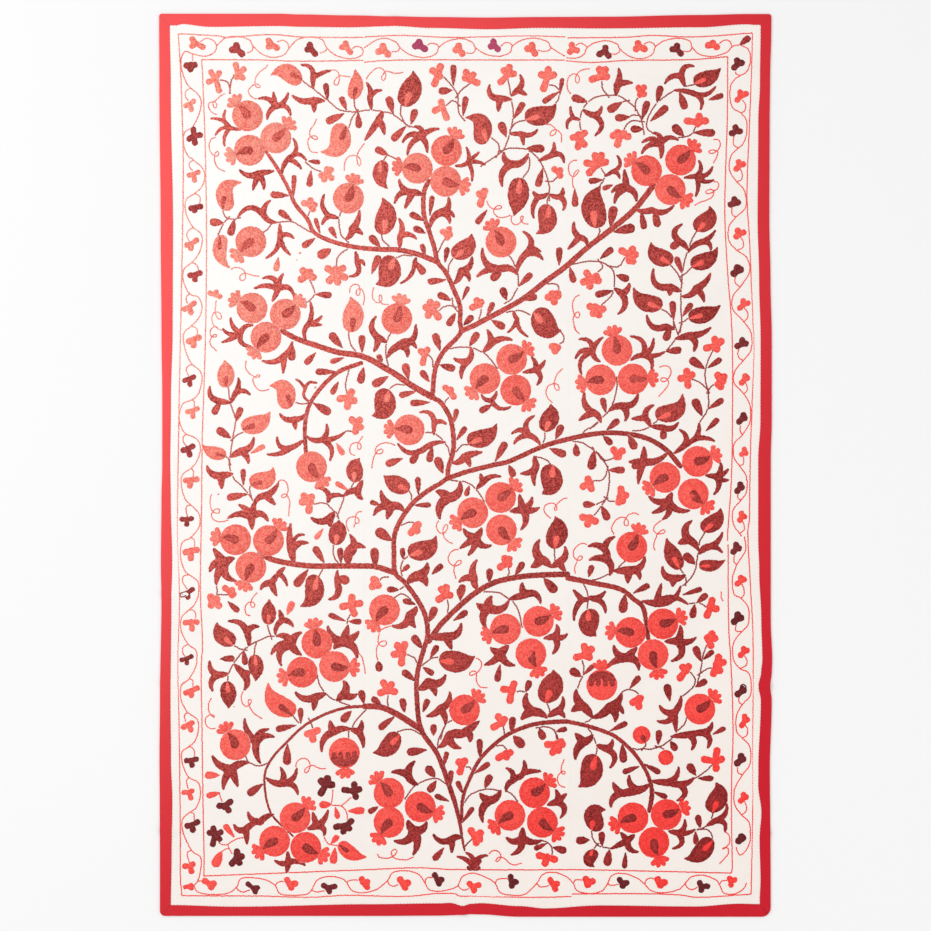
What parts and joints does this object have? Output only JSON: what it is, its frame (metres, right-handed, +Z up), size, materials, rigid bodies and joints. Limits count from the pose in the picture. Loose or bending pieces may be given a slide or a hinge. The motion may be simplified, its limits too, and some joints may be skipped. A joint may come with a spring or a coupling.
{
  "type": "suzani embroidered textile",
  "caption": "Flat rectangular wall or bed cloth of joined loom widths with a folded, mitred binding round its edge.",
  "frame": {"origin": "under the middle of the cloth, on the surface that it lies on", "axes": "+X across the cloth to the picture's right, +Y along it to the picture's top, +Z up off its embroidered face"},
  "size_m": [1.4952, 2.2022, 0.0087],
  "materials": {
    "ground_cotton": "cream plain-woven cotton, matt",
    "binding_cotton": "red plain-woven cotton, matt",
    "coral_thread": "coral red embroidery thread in chain stitch, soft sheen",
    "dark_red_thread": "dark red embroidery thread in chain stitch, soft sheen"
  },
  "bodies": {
    "root": {"panel_left": "ground_cotton", "panel_centre": "ground_cotton", "panel_right": "ground_cotton", "binding_left": "binding_cotton", "binding_right": "binding_cotton", "binding_bottom": "binding_cotton", "binding_top": "binding_cotton"}
  },
  "joints": []
}
